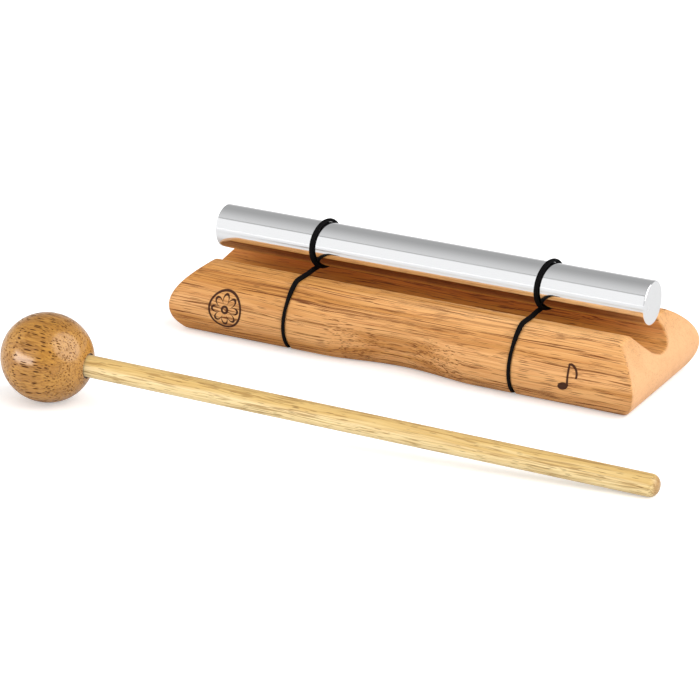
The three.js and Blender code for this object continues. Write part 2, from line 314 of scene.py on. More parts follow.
class Bench:
    """Builds one node tree, node by node."""

    def __init__(self, tree: bpy.types.NodeTree) -> None:
        """Starts on a tree that may hold nodes already."""
        self.tree = tree

    def add(self, kind: str, **settings: object) -> bpy.types.Node:
        """Adds a node with some of its settings."""
        node = self.tree.nodes.new(kind)
        for key, value in settings.items():
            setattr(node, key, value)
        return node

    def feed(self, node: bpy.types.Node, **values: Feed) -> bpy.types.Node:
        """Feeds a node's inputs.

        Args:
            node: Node to feed.
            values: Links or plain values by input name, with underscores for spaces.

        Returns:
            The same node.
        """
        for key, value in values.items():
            self.set(node.inputs[key.replace("_", " ")], value)
        return node

    def set(self, socket: Socket, value: Feed) -> None:
        """Links an input to an output, or gives it a plain value."""
        if isinstance(value, bpy.types.NodeSocket):
            self.tree.links.new(value, socket)
        else:
            socket.default_value = value

    def math(self, operation: str, *values: Feed) -> Socket:
        """Adds a number operation."""
        node = self.add("ShaderNodeMath", operation=operation)
        for socket, value in zip(node.inputs, values):
            self.set(socket, value)
        return node.outputs[0]

    def product(self, *values: Feed) -> Socket:
        """Multiplies numbers."""
        return reduce(lambda a, b: self.math("MULTIPLY", a, b), values)

    def largest(self, *values: Feed) -> Socket:
        """Takes the largest of some numbers."""
        return reduce(lambda a, b: self.math("MAXIMUM", a, b), values)

    def rest(self, share: Feed) -> Socket:
        """Takes a share from one."""
        return self.math("SUBTRACT", 1.0, share)

    def vector(self, operation: str, *values: Feed) -> Socket:
        """Adds a vector operation."""
        node = self.add("ShaderNodeVectorMath", operation=operation)
        for socket, value in zip(node.inputs, values):
            self.set(socket, value)
        return node.outputs["Value" if operation in {"DOT_PRODUCT", "LENGTH", "DISTANCE"} else "Vector"]

    def scale(self, vector: Feed, factor: Feed) -> Socket:
        """Multiplies a vector by a number."""
        node = self.add("ShaderNodeVectorMath", operation="SCALE")
        return self.feed(node, Vector=vector, Scale=factor).outputs["Vector"]

    def parts(self, vector: Feed) -> tuple[Socket, Socket, Socket]:
        """Splits a vector into its three numbers."""
        node = self.feed(self.add("ShaderNodeSeparateXYZ"), Vector=vector)
        return node.outputs["X"], node.outputs["Y"], node.outputs["Z"]

    def join(self, x: Feed, y: Feed, z: Feed) -> Socket:
        """Makes a vector of three numbers."""
        return self.feed(self.add("ShaderNodeCombineXYZ"), X=x, Y=y, Z=z).outputs["Vector"]

    def reach(self, a: Feed, b: Feed) -> Socket:
        """Measures how far a place in a plane is from the middle."""
        return self.vector("LENGTH", self.join(0.0, a, b))

    def rise(self, value: Feed, low: Feed, high: Feed, start: Feed = 0.0, end: Feed = 1.0) -> Socket:
        """Adds a smooth rise from start at low to end at high."""
        node = self.add("ShaderNodeMapRange", interpolation_type="SMOOTHSTEP")
        self.feed(node, Value=value, From_Min=low, From_Max=high, To_Min=start, To_Max=end)
        return node.outputs["Result"]

    def fall(self, value: Feed, low: Feed, high: Feed, end: Feed = 0.0) -> Socket:
        """Adds a smooth fall from 1 at low to end at high."""
        return self.rise(value, low, high, 1.0, end)

    def noise(self, vector: Feed, detail: float, roughness: float = 0.5) -> bpy.types.Node:
        """Adds fractal noise with one cell per unit."""
        node = self.add("ShaderNodeTexNoise", noise_dimensions="3D")
        return self.feed(node, Vector=vector, Scale=1.0, Detail=detail, Roughness=roughness)

    def mix(self, share: Feed, first: Feed, second: Feed, blend: str = "MIX") -> Socket:
        """Mixes two colours, whose sockets share their names with others and are picked by place."""
        node = self.add("ShaderNodeMix", data_type="RGBA", blend_type=blend)
        for place, value in ((0, share), (6, first), (7, second)):
            self.set(node.inputs[place], value)
        return node.outputs[2]

    def bump(self, height: Feed, strength: float, relief: float) -> Socket:
        """Adds a relief that is given in millimetres."""
        node = self.add("ShaderNodeBump")
        return self.feed(node, Height=height, Strength=strength, Distance=relief * MM).outputs["Normal"]

    def socket(self, name: str, kind: str, out: bool = False) -> None:
        """Adds a socket to the tree's interface."""
        way = "OUTPUT" if out else "INPUT"
        self.tree.interface.new_socket(name, in_out=way, socket_type=f"NodeSocket{kind}")

    def group(self, tree: bpy.types.NodeTree) -> bpy.types.Node:
        """Adds a shared group of shader nodes."""
        return self.add("ShaderNodeGroup", node_tree=tree)


def new_group(name: str) -> Bench:
    """Starts an empty group of shader nodes."""
    return Bench(bpy.data.node_groups.new(name, "ShaderNodeTree"))


def new_finish(name: str) -> tuple[bpy.types.Material, Bench, bpy.types.Node]:
    """Starts a material.

    Args:
        name: Name of the material.

    Returns:
        The material, a bench for its nodes and its shader.
    """
    material = bpy.data.materials.new(name)
    material.use_nodes = True
    return material, Bench(material.node_tree), material.node_tree.nodes["Principled BSDF"]


@dataclass(frozen=True)
class Place:
    """Where a piece lies, as the turn and the shift from its own axes."""

    shift: Spot = (0.0, 0.0, 0.0)
    yaw: float = 0.0
    dip: float = 0.0

    def turn(self) -> Spot:
        """Returns the turn about each axis."""
        return 0.0, self.dip, self.yaw

    def matrix(self) -> np.ndarray:
        """Returns the turn as a matrix."""
        return np.array(Euler(self.turn()).to_matrix())

    def apply(self, points: np.ndarray) -> np.ndarray:
        """Returns points of the piece's own axes in the object's frame."""
        return points @ self.matrix().T + np.array(self.shift)

    def coordinates(self, bench: Bench) -> tuple[Socket, Socket]:
        """Adds the piece's own coordinates to its material.

        Args:
            bench: Bench of the material.

        Returns:
            The place in millimetres along the piece's own axes, and how squarely the surface faces along X.
        """
        source = bench.add("ShaderNodeTexCoord").outputs
        own = bench.add("ShaderNodeMapping", vector_type="TEXTURE")
        shift = [s * MM for s in self.shift]
        bench.feed(own, Vector=source["Object"], Location=shift, Rotation=self.turn(), Scale=(MM, MM, MM))
        axis = self.matrix() @ np.array([1.0, 0.0, 0.0])
        facing = bench.vector("DOT_PRODUCT", source["Normal"], axis.tolist())
        return own.outputs["Vector"], bench.math("ABSOLUTE", facing)


@dataclass(frozen=True)
class Grain:
    """Wood grain that all three woods share, along the X of a vector in millimetres.

    A cell is the size of a noise along the grain and across it, and a range holds the values between which
    an effect rises. Long thin vessels are cut open where a face runs along them, and show as dots where it
    runs across.
    """

    sway_scale: Spot = (0.014, 0.045, 0.045)
    sway_reach: Spot = (0.0, 4.0, 4.0)
    band_stretch: float = 26.0
    band_range: Span = (0.36, 0.64)
    fibre_cell: Span = (22.0, 0.42)
    fibre_range: Span = (0.3, 0.75)
    fibre_share: float = 0.42
    fibre_relief: float = 0.25
    crowd_cell: Span = (60.0, 7.0)
    crowd_range: Span = (0.3, 0.7)
    crowd_width: Span = (0.6, 1.2)
    line_core: float = 0.35
    fade_share: float = 0.6
    fade_range: Span = (0.36, 0.58)
    faintest_line: float = 0.25
    end_range: Span = (0.25, 0.8)
    chance_range: Span = (0.15, 0.7)
    pore_core: float = 0.45
    pore_blur: float = 0.02
    pore_tint: Colour = (0.02, 0.008, 0.002, 1.0)
    pore_tint_share: float = 0.4

    def group(self) -> bpy.types.NodeTree:
        """Makes the group.

        Returns:
            A group with the outputs Color, Height and Marks.
        """
        bench = new_group("wood grain")
        numbers = ("End", *LINE_INPUTS, *PORE_INPUTS, "Band Width", "End Strength")
        for kind, names in (
            ("Vector", ("Vector", "Lean")),
            ("Color", ("Pale", "Warm", "Dark")),
            ("Float", numbers),
        ):
            for name in names:
                bench.socket(name, kind)
        for name, kind in (("Color", "Color"), ("Height", "Float"), ("Marks", "Float")):
            bench.socket(name, kind, out=True)
        given = bench.add("NodeGroupInput").outputs
        sway = bench.noise(bench.vector("MULTIPLY", given["Vector"], self.sway_scale), detail=2.0)
        drift = bench.vector("SUBTRACT", sway.outputs["Color"], (0.5, 0.5, 0.5))
        place = bench.vector("ADD", given["Vector"], bench.vector("MULTIPLY", drift, self.sway_reach))

        def stretched(length: Feed, gap: Feed) -> Socket:
            """Returns the place in cells of a length along the grain and a gap across it."""
            return bench.vector("DIVIDE", place, bench.join(length, gap, gap))

        def noise(length: Feed, gap: Feed, detail: float, roughness: float = 0.5) -> Socket:
            """Returns noise in such cells."""
            return bench.noise(stretched(length, gap), detail, roughness).outputs["Fac"]

        wide = bench.product(given["Band Width"], self.band_stretch)
        band = noise(wide, given["Band Width"], detail=2.0, roughness=0.55)
        # The lean shifts the tone along a direction; the block and the dowel use it for painted light.
        band = bench.math("ADD", band, bench.vector("DOT_PRODUCT", given["Vector"], given["Lean"]))
        tone = bench.mix(bench.rise(band, *self.band_range), given["Pale"], given["Warm"])
        fibre = noise(*self.fibre_cell, detail=3.0, roughness=0.65)
        fibre_share = bench.rise(fibre, *self.fibre_range, 0.0, self.fibre_share)
        tone = bench.mix(fibre_share, tone, given["Warm"], "MULTIPLY")

        streak = noise(given["Line Length"], given["Line Gap"], detail=2.6, roughness=0.55)
        away = bench.math("ABSOLUTE", bench.math("SUBTRACT", streak, 0.5))
        crowd = bench.rise(noise(*self.crowd_cell, detail=1.0), *self.crowd_range, *self.crowd_width)
        half = bench.product(given["Line Half Width"], crowd)
        line = bench.fall(away, bench.product(half, self.line_core), half)
        fade = noise(bench.product(given["Line Length"], self.fade_share), given["Line Gap"], detail=1.0)
        fade = bench.rise(fade, *self.fade_range, self.faintest_line, 1.0)
        along = bench.fall(given["End"], *self.end_range, given["End Strength"])
        line = bench.product(line, fade, given["Line Strength"], along)

        cells = bench.add("ShaderNodeTexVoronoi", feature="F1", voronoi_dimensions="3D")
        spread = stretched(given["Pore Length"], given["Pore Gap"])
        bench.feed(cells, Vector=spread, Scale=1.0, Randomness=1.0)
        chance = bench.rise(bench.parts(cells.outputs["Color"])[0], *self.chance_range)
        size = bench.product(given["Pore Size"], chance)
        near = bench.math("SUBTRACT", size, cells.outputs["Distance"])
        pore = bench.rise(near, 0.0, bench.largest(bench.product(size, self.pore_core), self.pore_blur))
        across = bench.fall(given["End"], *self.end_range, bench.math("SQRT", given["End Strength"]))
        pore = bench.product(pore, given["Pore Strength"], across)

        deep = bench.mix(self.pore_tint_share, given["Dark"], self.pore_tint)
        dotted = bench.mix(pore, bench.mix(line, tone, given["Dark"]), deep)
        marks = bench.largest(line, pore)
        height = bench.math("SUBTRACT", bench.product(fibre, self.fibre_relief), marks)
        bench.feed(bench.add("NodeGroupOutput"), Color=dotted, Height=height, Marks=marks)
        return bench.tree


@dataclass(frozen=True)
class BlockTints:
    """What is drawn on the block: two burnt marks on its front face, and painted light and shade by the
    groove.

    The marks are a plain eight-petal rosette near the left end and a music note near the right end. Their
    places are X and Z on the front face.
    """

    groove_height: float
    groove_radius: float
    front_range: Span = (-20.0, -18.0)
    stroke_blur: float = 0.12
    rosette_place: Span = (-68.7, 12.2)
    petals: int = 8
    petal_root: float = 2.1
    petal_length: float = 3.2
    petal_roundness: float = 0.55
    petal_stroke: float = 0.44
    rings: tuple[Span, ...] = ((6.5, 0.42), (1.15, 0.44))
    head_place: Span = (66.2, 8.8)
    head_turn: Span = (0.94, 0.34)
    head_squash: float = 1.4
    head_edge: Span = (1.85, 2.1)
    stem_place: Span = (67.9, 12.9)
    stem_half_length: float = 3.9
    flag_place: Span = (67.9, 13.3)
    flag_radius: float = 3.3
    flag_start: Span = (0.0, 0.3)
    flag_end: Span = (-1.2, -0.8)
    note_stroke: float = 0.4
    groove_edge: Span = (0.02, 0.12)
    # Painted shade in the groove, weaker towards the ends.
    shade_fade_range: Span = (55.0, 92.0)
    shade_at_ends: float = 0.4
    middle_range: Span = (-4.0, 4.0)
    # Painted shade: dark on the groove's front wall, and high on its back wall under the bar.
    front_wall_shade: Colour = (0.56, 0.32, 0.15, 1.0)
    back_range: Span = (16.8, 19.8)
    back_low_shade: Colour = (1.0, 0.77, 0.30, 1.0)
    back_high_shade: Colour = (0.89, 0.54, 0.21, 1.0)
    # Painted light on the flat tops beside the groove: lighter and paler, as if lit from above.
    top_light_range: Span = (23.0, 23.9)
    top_light_tint: Colour = (1.18, 1.24, 1.32, 1.0)
    burn_tint: Colour = (0.05, 0.014, 0.003, 1.0)
    burn_depth: float = 1.5
    burn_roughness: float = 0.2

    def stroke(self, bench: Bench, distance: Feed, half: float) -> Socket:
        """Returns a soft line where a distance is less than half a width."""
        away = bench.math("ABSOLUTE", distance)
        return bench.fall(away, half - self.stroke_blur, half + self.stroke_blur)

    def rosette(self, bench: Bench, u: Socket, v: Socket) -> Socket:
        """Draws the rosette.

        Args:
            bench: Bench of the group.
            u: Place along the face, from the rosette's middle.
            v: Place up the face, from the rosette's middle.

        Returns:
            The share that is burnt.
        """
        radius = bench.reach(u, v)
        angle = bench.math("ARCTAN2", v, u)
        wave = bench.math("ABSOLUTE", bench.math("COSINE", bench.product(angle, self.petals / 2.0)))
        petal = bench.product(bench.math("POWER", wave, self.petal_roundness), self.petal_length)
        outline = bench.math("ADD", self.petal_root, petal)
        lines = [self.stroke(bench, bench.math("SUBTRACT", radius, outline), self.petal_stroke)]
        for ring, half in self.rings:
            lines.append(self.stroke(bench, bench.math("SUBTRACT", radius, ring), half))
        return bench.largest(*lines)

    def note(self, bench: Bench, offset: Callable[[Span], tuple[Socket, Socket]]) -> Socket:
        """Draws the music note.

        Args:
            bench: Bench of the group.
            offset: Returns the place on the face from a centre.

        Returns:
            The share that is burnt.
        """
        along, up = self.head_turn
        u, v = offset(self.head_place)
        lean = bench.math("ADD", bench.product(u, along), bench.product(v, up))
        lift = bench.math("SUBTRACT", bench.product(v, along), bench.product(u, up))
        head = bench.fall(bench.reach(lean, bench.product(lift, self.head_squash)), *self.head_edge)
        u, v = offset(self.stem_place)
        thick = self.stroke(bench, u, self.note_stroke)
        stem = bench.product(thick, self.stroke(bench, v, self.stem_half_length))
        u, v = offset(self.flag_place)
        bow = bench.math("SUBTRACT", bench.reach(u, v), self.flag_radius)
        bow = self.stroke(bench, bow, self.note_stroke)
        flag = bench.product(bow, bench.rise(u, *self.flag_start), bench.rise(v, *self.flag_end))
        return bench.largest(head, stem, flag)

    def group(self) -> bpy.types.NodeTree:
        """Makes the group.

        Returns:
            A group that turns a place in millimetres into the share that is burnt, the share that carries
            painted light and shade, and its colour.
        """
        bench = new_group("block tints")
        bench.socket("Vector", "Vector")
        for name, kind in (("Burn", "Float"), ("Stain", "Float"), ("Stain Color", "Color")):
            bench.socket(name, kind, out=True)
        x, y, z = bench.parts(bench.add("NodeGroupInput").outputs["Vector"])

        def offset(centre: Span) -> tuple[Socket, Socket]:
            """Returns the place on the front face from a centre."""
            return bench.math("SUBTRACT", x, centre[0]), bench.math("SUBTRACT", z, centre[1])

        drawn = bench.largest(self.rosette(bench, *offset(self.rosette_place)), self.note(bench, offset))
        burn = bench.product(drawn, bench.fall(y, *self.front_range))

        # Painted shade in the groove, weaker towards the ends, where the light from the right falls.
        depth = bench.reach(y, bench.math("SUBTRACT", z, self.groove_height))
        groove = bench.fall(depth, *(self.groove_radius + edge for edge in self.groove_edge))
        ends = bench.fall(bench.math("ABSOLUTE", x), *self.shade_fade_range, self.shade_at_ends)
        # Painted light on the flat tops beside the groove, as if lit from above.
        top_lit = bench.product(bench.rise(z, *self.top_light_range), bench.rest(groove))
        painted_shading = bench.largest(bench.product(groove, ends), top_lit)
        back = bench.mix(bench.rise(z, *self.back_range), self.back_low_shade, self.back_high_shade)
        groove_shade = bench.mix(bench.rise(y, *self.middle_range), self.front_wall_shade, back)
        tint = bench.mix(groove, self.top_light_tint, groove_shade)
        bench.feed(bench.add("NodeGroupOutput"), Burn=burn, Stain=painted_shading, Stain_Color=tint)
        return bench.tree


@dataclass(frozen=True)
class WoodFinish:
    """Look of one kind of wood, with its grain along the X of a place.

    The lines and the pores hold their length, gap, size and strength. A seam is the radius about the X axis
    within which the wood is darker round the mouth of the bore.
    """

    name: str
    pale: Colour
    warm: Colour
    dark: Colour
    lines: tuple[float, float, float, float]
    pores: tuple[float, float, float, float]
    band_width: float
    roughness: float
    gloss: float
    coat: float
    coat_roughness: float
    coat_ior: float
    relief: float
    end_tone: Colour
    end_strength: float
    # Shift of the tone along a direction, used for painted light.
    lean: Spot = (0.0, 0.0, 0.0)
    place: Place = Place()
    seam: float = 0.0
    seam_blur: float = 0.2
    seam_tint: Colour = (0.03, 0.012, 0.003, 1.0)
    end_range: Span = (0.35, 0.85)
    end_share: float = 0.75
    mark_roughness: float = 0.25
    bump_strength: float = 0.6

    def material(self, grain: bpy.types.NodeTree, tints: BlockTints | None = None) -> bpy.types.Material:
        """Makes the material.

        Args:
            grain: Shared wood grain.
            tints: What is drawn over the wood, if anything.

        Returns:
            The material.
        """
        material, bench, shader = new_finish(self.name)
        own, end = self.place.coordinates(bench)
        wood = bench.feed(bench.group(grain), Vector=own, End=end, Lean=self.lean)
        bench.feed(wood, Pale=self.pale, Warm=self.warm, Dark=self.dark)
        bench.feed(wood, Band_Width=self.band_width, End_Strength=self.end_strength)
        for name, value in zip(LINE_INPUTS + PORE_INPUTS, self.lines + self.pores):
            bench.set(wood.inputs[name], value)
        marks, height = wood.outputs["Marks"], wood.outputs["Height"]
        cut = bench.rise(end, *self.end_range)
        colour = bench.mix(bench.product(cut, self.end_share), wood.outputs["Color"], self.end_tone)
        colour = bench.mix(bench.product(marks, cut), colour, self.dark)
        rough = bench.rise(marks, 0.0, 1.0, self.roughness, self.roughness + self.mark_roughness)
        dull = marks
        if tints is not None:
            drawn = bench.feed(bench.group(tints.group()), Vector=own).outputs
            burn = drawn["Burn"]
            # Painted shade in the groove and painted light on the flat tops beside it.
            colour = bench.mix(drawn["Stain"], colour, drawn["Stain Color"], "MULTIPLY")
            colour = bench.mix(burn, colour, tints.burn_tint)
            height = bench.math("SUBTRACT", height, bench.product(burn, tints.burn_depth))
            rough = bench.math("ADD", rough, bench.product(burn, tints.burn_roughness))
        if self.seam > 0.0:
            x, y, z = bench.parts(own)
            # A dark ring round the mouth of the bore, where the handle goes in.
            mouth_ring = bench.fall(bench.reach(y, z), self.seam, self.seam + self.seam_blur)
            mouth_ring = bench.product(mouth_ring, bench.rise(x, 0.0, 1.0))
            colour = bench.mix(mouth_ring, colour, self.seam_tint)
            dull = bench.largest(dull, mouth_ring)
        normal = bench.bump(height, self.bump_strength, self.relief)
        bench.feed(shader, Base_Color=colour, Roughness=rough, Normal=normal)
        if self.coat > 0.0:
            bench.feed(shader, Coat_Weight=bench.rise(dull, 0.0, 1.0, self.coat, 0.0))
        bench.feed(shader, Specular_IOR_Level=self.gloss)
        bench.feed(shader, Coat_Roughness=self.coat_roughness, Coat_IOR=self.coat_ior)
        return material


@dataclass(frozen=True)
class MetalFinish:
    """Polished bar stock with faced ends."""

    tint: Colour = (0.90, 0.905, 0.915, 1.0)
    roughness: float = 0.085
    smudge_scale: Spot = (0.05, 0.12, 0.12)
    smudge_range: Span = (0.35, 0.75)
    smudge_shares: Span = (0.7, 1.5)
    drawn_scale: Spot = (0.02, 3.0, 3.0)
    drawn_share: float = 0.25
    ring_scale: float = 5.0
    face_range: Span = (0.7, 0.9)
    face_roughness: float = 0.16
    bump_strength: float = 0.12
    relief: float = 0.05

    def material(self, place: Place) -> bpy.types.Material:
        """Makes the material.

        Args:
            place: Where the bar lies.

        Returns:
            The material.
        """
        material, bench, shader = new_finish("polished bar")
        own, end = place.coordinates(bench)
        _, y, z = bench.parts(own)
        faced = bench.rise(end, *self.face_range)
        smudge = bench.noise(bench.vector("MULTIPLY", own, self.smudge_scale), detail=3.0).outputs["Fac"]
        shares = (self.roughness * share for share in self.smudge_shares)
        rough = bench.rise(smudge, *self.smudge_range, *shares)
        rough = bench.math("ADD", rough, bench.product(faced, self.face_roughness))
        turned = bench.join(bench.product(bench.reach(y, z), self.ring_scale), 0.0, 0.0)
        rings = bench.noise(turned, detail=2.0).outputs["Fac"]
        drawn = bench.noise(bench.vector("MULTIPLY", own, self.drawn_scale), detail=2.0).outputs["Fac"]
        side = bench.product(drawn, bench.rest(faced), self.drawn_share)
        height = bench.math("ADD", bench.product(rings, faced), side)
        normal = bench.bump(height, self.bump_strength, self.relief)
        bench.feed(shader, Base_Color=self.tint, Roughness=rough, Normal=normal, Metallic=1.0)
        return material


@dataclass(frozen=True)
class CordFinish:
    """Black braided elastic."""

    tint: Colour = (0.0012, 0.0011, 0.0013, 1.0)
    fuzz_tint: Colour = (0.004, 0.0037, 0.0043, 1.0)
    roughness: float = 0.7
    gloss: float = 0.08
    fuzz_scale: float = 4.2
    fuzz_range: Span = (0.35, 0.7)
    bump_strength: float = 0.3
    relief: float = 0.04

    def material(self) -> bpy.types.Material:
        """Makes the material."""
        material, bench, shader = new_finish("braided elastic")
        source = bench.add("ShaderNodeTexCoord").outputs["Object"]
        fuzz = bench.noise(bench.scale(source, self.fuzz_scale / MM), detail=2.0).outputs["Fac"]
        tint = bench.mix(bench.rise(fuzz, *self.fuzz_range), self.tint, self.fuzz_tint)
        normal = bench.bump(fuzz, self.bump_strength, self.relief)
        bench.feed(shader, Base_Color=tint, Roughness=self.roughness, Normal=normal)
        bench.feed(shader, Specular_IOR_Level=self.gloss)
        return material


@dataclass(frozen=True)
class Extent:
    """Half of the block's length or width at three heights, with the roundness of its upper part."""

    top: float
    waist: float
    foot: float
    roundness: float

    @classmethod
    def about(cls, waist: float, top_inset: float, foot_inset: float, roundness: float) -> "Extent":
        """Sets the upper and the lower edge in from the waist."""
        return cls(waist - top_inset, waist, waist - foot_inset, roundness)


@dataclass
class Block:
    """Carved hardwood block with a groove, finger scoops, cord channels and knot pockets."""

    length: Extent
    width: Extent
    height: float
    end_shape: Spot = (9.8, 4.7, 1.0)
    side_shape: Spot = (10.9, 5.0, 0.8)
    waist_height: float = 10.0
    tuck_roundness: float = 2.2
    groove_radius: float = 11.4
    groove_rise: float = 3.0
    scoop_half_length: float = 30.0
    scoop_depth: float = 3.6
    scoop_top: float = 19.0
    corner_softness: float = 0.9
    lip_softness: float = 0.65
    foot_softness: float = 0.9
    channel_radius: float = 0.74
    channel_softness: float = 0.5
    channel_zone: float = 4.0
    pocket: Spot = (8.0, 22.0, 6.2)
    pocket_softness: float = 0.4
    grid_step: float = 0.56
    cord_step: float = 0.36
    long_step: float = 1.3
    cord_zone: float = 4.8
    end_zone: float = 14.0
    grid_margin: float = 1.5
    side_margin: float = 1.4
    floor_margin: float = 1.33
    settle_rounds: int = 4
    channels: list[np.ndarray] = field(default_factory=list)
    stations: list[float] = field(default_factory=list)

    @classmethod
    def from_frame(cls) -> "Block":
        """Takes the outer size of the block from the frame."""
        low, high = frame_box("base_block")
        half_length, half_width = (high - low)[:2] / 2.0
        length = Extent.about(half_length, *cls.end_shape)
        width = Extent.about(half_width, *cls.side_shape)
        return cls(length, width, high[2])

    def half_size(self, z: np.ndarray, extent: Extent) -> np.ndarray:
        """Returns half of the length or width at heights."""
        rise = np.clip((z - self.waist_height) / (self.height - self.waist_height), 0.0, 1.0)
        drop = np.clip(1.0 - z / self.waist_height, 0.0, 1.0)
        above = extent.top + (extent.waist - extent.top) * (1.0 - rise**2) ** extent.roundness
        below = extent.waist - (extent.waist - extent.foot) * drop**self.tuck_roundness
        return np.where(z >= self.waist_height, above, below)

    def wall(self, place: np.ndarray, z: np.ndarray, extent: Extent, inset: np.ndarray) -> np.ndarray:
        """Returns the signed distance to a pair of curved walls.

        Args:
            place: Distance from the middle, along the walls' own direction.
            z: Heights.
            extent: Shape of the walls.
            inset: How far the walls are carved back.

        Returns:
            Signed distances, negative between the walls.
        """
        near = np.clip(z, 0.0, self.height - SLOPE_REACH)
        above, below = (self.half_size(near + s, extent) for s in (SLOPE_REACH, -SLOPE_REACH))
        slope = (above - below) / (2.0 * SLOPE_REACH)
        return (np.abs(place) - self.half_size(z, extent) + inset) / np.sqrt(1.0 + slope**2)

    def scoop(self, x: np.ndarray, z: np.ndarray) -> np.ndarray:
        """Returns how far the long faces are hollowed for the fingers."""
        across = np.maximum(1.0 - (x / self.scoop_half_length) ** 2, 0.0) ** 2
        return self.scoop_depth * across * (1.0 - smoothstep(z, self.waist_height, self.scoop_top))

    def solid(self, points: np.ndarray) -> np.ndarray:
        """Returns the signed distance of points to the block's skin."""
        x, y, z = points.T
        sides = self.wall(y, z, self.width, self.scoop(x, z))
        ends = self.wall(x, z, self.length, np.zeros_like(x))
        body = smooth_max(sides, ends, self.corner_softness)
        body = smooth_max(body, z - self.height, self.lip_softness)
        body = smooth_max(body, -z, self.foot_softness)
        groove = self.groove_radius - np.hypot(y, z - self.height - self.groove_rise)
        body = smooth_max(body, groove, self.lip_softness)
        zone = self.channel_zone * self.channel_radius
        for path in self.channels:
            low, high = path.min(axis=0), path.max(axis=0)
            close = np.all((points > low - zone) & (points < high + zone), axis=1)
            held = np.maximum(points[close], [-np.inf, -np.inf, low[2]])
            hollow = self.channel_radius - path_distance(held, path)
            body[close] = smooth_max(body[close], hollow, self.channel_softness)
        wide, long, deep = self.pocket
        for station in self.stations:
            gaps = np.stack([np.abs(x - station) - wide / 2, np.abs(y) - long / 2, z - deep])
            body = smooth_max(body, -gaps.max(axis=0), self.pocket_softness)
        return body

    def grid(self) -> list[np.ndarray]:
        """Returns grid places, close together at the ends and the cords."""
        limit = self.length.waist + self.grid_margin
        places = [-limit]
        while places[-1] < limit:
            x = places[-1]
            cord = min((abs(x - s) for s in self.stations), default=limit)
            end_step = self.grid_step if limit - abs(x) < self.end_zone else self.long_step
            places.append(x + (self.cord_step if cord < self.cord_zone else end_step))
        half = self.width.waist
        across = np.arange(-half - self.side_margin, half + self.grid_margin, self.grid_step)
        up = np.arange(-self.floor_margin, self.height + self.side_margin, self.grid_step)
        return [np.array(places), across, up]

    def build(self) -> tuple[np.ndarray, np.ndarray]:
        """Returns the points and faces of the block's skin."""
        points, faces = surface_net(self.solid, self.grid())
        return settle(self.solid, points, self.settle_rounds), faces

    def dress(self, material: bpy.types.Material) -> bpy.types.Object:
        """Makes the block, on the body that stands still."""
        piece = make_piece("block", *self.build(), material)
        settle_in(piece, ["base_block"])
        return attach(piece, Body.BASE.value)


@dataclass
class Bar:
    """Polished round bar with faced ends."""

    middle: float
    height: float
    half_length: float
    radius: float
    chamfer: float = 0.5
    face_insets: Span = (0.25, 0.06)
    side_places: tuple[float, ...] = (0.06, 0.3, 3.0, 20.0, 50.0)
    edge_turn: int = 15
    segments: int = 160

    @classmethod
    def from_frame(cls) -> "Bar":
        """Takes the size and place of the bar from the frame."""
        low, high = frame_box("chime_rod")
        centre, half = (low + high) / 2.0, (high - low) / 2.0
        return cls(centre[0], centre[2], half[0], half[2])

    def place(self) -> Place:
        """Returns where the bar's own axes lie."""
        return Place((self.middle, 0.0, self.height))

    def profile(self) -> list[Span]:
        """Returns half of the turned profile, from the right face's middle to the middle of the bar."""
        rim, inner = self.radius - self.chamfer, self.half_length - self.chamfer
        rings = (0.0, rim / 2.0, *(rim - inset for inset in self.face_insets))
        face = [(self.half_length, r) for r in rings]
        turn = [math.radians(a) for a in range(0, 91, self.edge_turn)]
        edge = [(inner + self.chamfer * math.cos(a), rim + self.chamfer * math.sin(a)) for a in turn]
        side = [(inner - d, self.radius) for d in self.side_places]
        return face + edge + side

    def dress(self, material: bpy.types.Material) -> bpy.types.Object:
        """Makes the bar, on the body that slides in the slings."""
        right = self.profile()
        whole = [(-x, r) for x, r in right] + right[::-1]
        points, faces = lathe(whole, self.segments)
        piece = make_piece("bar", self.place().apply(points), faces, material)
        settle_in(piece, ["chime_rod"])
        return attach(piece, Body.CHIME.value)


@dataclass(frozen=True)
class Line:
    """Centreline of a cord, with the half width and half depth of its section at each point."""

    path: np.ndarray
    across: np.ndarray
    half_width: np.ndarray
    half_depth: np.ndarray

    @classmethod
    def even(cls, path: np.ndarray, across: Sequence[float], half: float) -> "Line":
        """Makes a round cord of one thickness."""
        size = np.full(len(path), half)
        return cls(path, np.tile(across, (len(path), 1)), size, size)

    def cut(self, start: int, stop: int) -> "Line":
        """Returns the run from one point to another."""
        part = slice(start, stop)
        return Line(self.path[part], self.across[part], self.half_width[part], self.half_depth[part])


